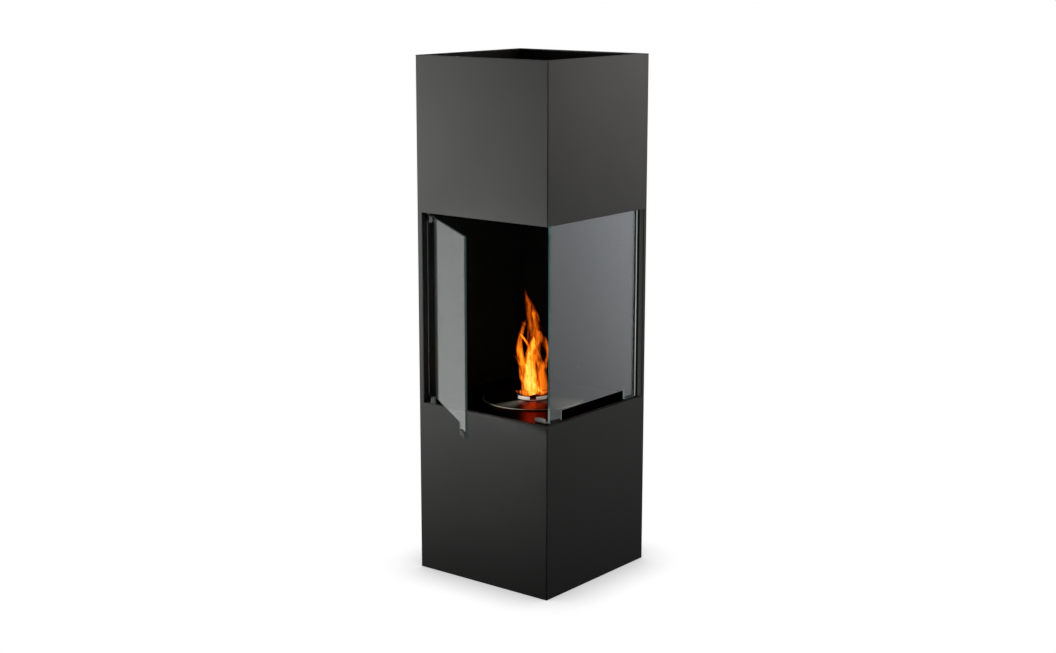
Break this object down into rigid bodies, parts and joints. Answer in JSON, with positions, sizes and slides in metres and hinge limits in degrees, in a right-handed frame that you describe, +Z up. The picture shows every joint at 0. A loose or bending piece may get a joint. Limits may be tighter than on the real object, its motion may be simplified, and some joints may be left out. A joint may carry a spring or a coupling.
{
  "type": "bioethanol fireplace",
  "caption": "Free-standing square column fireplace, open at the top, with a window round one corner, a fixed pane, a hinged glass door and a round lift-out burner.",
  "frame": {"origin": "middle of the foot, on the floor", "axes": "+Z up; the front with the door faces -Y; the fixed pane faces +X; the door hangs at the -X side"},
  "size_m": [0.385, 0.575, 1.232],
  "materials": {
    "outer_paint": "satin dark grey powder coat",
    "inner_paint": "matte black heat-proof paint",
    "floor_gloss": "gloss black enamel",
    "pane": "clear toughened glass",
    "stainless": "satin stainless steel",
    "hinge_metal": "dark satin steel",
    "clip_metal": "satin dark grey",
    "zinc": "zinc-plated steel",
    "soft_pad": "matte black heat-proof strip",
    "bush_brass": "plain turned brass",
    "magnet": "dull dark grey"
  },
  "bodies": {
    "column": {"front_wrap": "outer_paint", "rear_wrap": "outer_paint", "base_plate": "outer_paint", "joining_angles": "zinc", "wrap_nuts": "zinc", "left_liner": "inner_paint", "back_liner": "inner_paint", "upper_liner": "inner_paint", "liner_spacers": "zinc", "liner_screws": "inner_paint", "firebox_floor": "floor_gloss", "left_floor_rail": "zinc", "right_floor_rail": "zinc", "fixed_glass": "pane", "glass_pads": "soft_pad", "glass_rail": "inner_paint", "glass_bar": "inner_paint", "glass_gaskets": "soft_pad", "glass_screws": "zinc", "lower_hinge_bracket": "zinc", "upper_hinge_bracket": "inner_paint", "lower_bush": "bush_brass", "upper_bush": "bush_brass", "catch_bracket": "stainless", "catch_magnet": "magnet", "catch_screws": "zinc"},
    "door": {"door_glass": "pane", "lower_hinge_clamp": "hinge_metal", "upper_hinge_clamp": "hinge_metal", "lower_clamp_plate": "hinge_metal", "upper_clamp_plate": "hinge_metal", "clamp_pads": "soft_pad", "clamp_screws": "hinge_metal", "lower_pin": "hinge_metal", "upper_pin": "hinge_metal", "strike_clip": "clip_metal", "clip_pad": "soft_pad"},
    "burner": {"burner_disc": "stainless", "burner_tank": "stainless", "mouth_collar": "stainless"},
    "ring": {"burner_ring": "stainless"}
  },
  "joints": [
    {"name": "door_swing", "type": "hinge", "parent": "column", "child": "door", "pos_m": [-0.1715, -0.176, 0.412], "axis": [0, 0, -1], "range_deg": [-35.6, 54.4]},
    {"name": "burner_lift", "type": "slide", "parent": "column", "child": "burner", "axis": [0, 0, 1], "range_m": [0, 0.13]},
    {"name": "ring_lift", "type": "slide", "parent": "burner", "child": "ring", "axis": [0, 0, 1], "range_m": [0, 0.06]}
  ]
}
